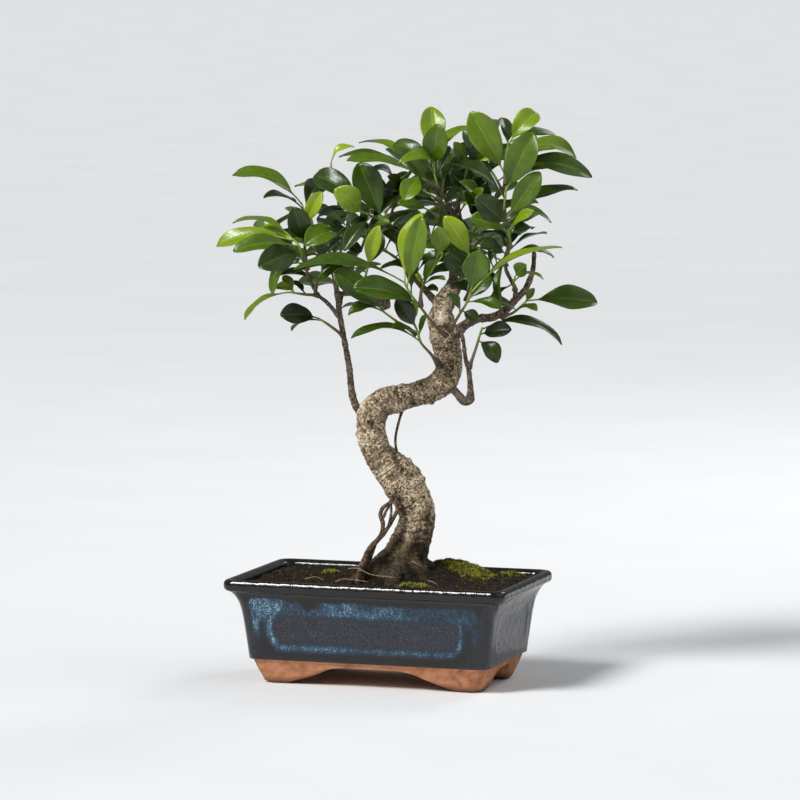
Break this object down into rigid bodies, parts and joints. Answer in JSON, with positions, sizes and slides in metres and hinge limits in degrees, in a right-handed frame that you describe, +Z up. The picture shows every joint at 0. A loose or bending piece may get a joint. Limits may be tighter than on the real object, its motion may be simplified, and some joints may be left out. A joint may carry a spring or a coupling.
{
  "type": "bonsai tree in a pot",
  "caption": "Small-leaved fig bonsai with an S-shaped trunk and a leafy crown, standing in a rectangular glazed pot on bracket feet.",
  "frame": {"origin": "centre of the overall bounding box in plan, at the level that the pot's feet rest on", "axes": "+Z up the tree, X along the pot's long side, -Y out of the long side from which the trunk reads as an S"},
  "size_m": [0.2542, 0.2054, 0.4088],
  "materials": {
    "dark_glaze": "glossy near-black glaze over stoneware, broken to slate blue and light steel blue on the raised panels, with an unglazed terracotta foot band",
    "netting": "matte black plastic netting",
    "potting_soil": "dark, damp, crumbly potting soil with fine roots",
    "moss": "short bright yellow-green moss",
    "fig_bark": "grey-tan bark, finely ringed and speckled darker, mossy and dark at the base",
    "root_bark": "dull brown root bark",
    "twig_bark": "rough grey-brown twig bark",
    "leaf": "leathery deep green leaf, smooth and glossy above",
    "young_leaf": "leathery yellow-green young leaf, smooth and glossy above"
  },
  "bodies": {
    "root": {"aerial_roots": "root_bark", "back_bough": "twig_bark", "crown_left_branch": "twig_bark", "drain_mesh_left": "netting", "drain_mesh_right": "netting", "hanging_root": "root_bark", "knob_branch": "twig_bark", "leader": "twig_bark", "left_branch": "twig_bark", "left_fork": "twig_bark", "loop_root": "twig_bark", "moss_back": "moss", "moss_front": "moss", "moss_left": "moss", "moss_right": "moss", "pot": "dark_glaze", "right_bough": "twig_bark", "right_fork": "twig_bark", "shoot_back_crown": "leaf", "shoot_back_far_left": "leaf", "shoot_back_high_right": "leaf", "shoot_back_inner": "leaf", "shoot_back_left": "leaf", "shoot_back_left_low": "leaf", "shoot_back_low": "leaf", "shoot_back_middle": "leaf", "shoot_back_right": "leaf", "shoot_back_top": "leaf", "shoot_centre": "leaf", "shoot_centre_front": "leaf", "shoot_centre_left": "leaf", "shoot_far_left": "leaf", "shoot_fork_low": "leaf", "shoot_front_left": "young_leaf", "shoot_front_middle": "young_leaf", "shoot_front_stem": "young_leaf", "shoot_knob": "leaf", "shoot_left_fan": "leaf", "shoot_left_inner": "leaf", "shoot_left_low": "leaf", "shoot_left_top": "young_leaf", "shoot_left_under": "leaf", "shoot_loop": "leaf", "shoot_low_left": "leaf", "shoot_low_middle": "leaf", "shoot_right_big": "leaf", "shoot_right_leader": "leaf", "shoot_right_mid": "leaf", "shoot_right_top": "young_leaf", "shoot_spoon": "leaf", "shoot_top": "young_leaf", "shoot_top_left": "leaf", "soil": "potting_soil", "trunk": "fig_bark"}
  },
  "joints": []
}
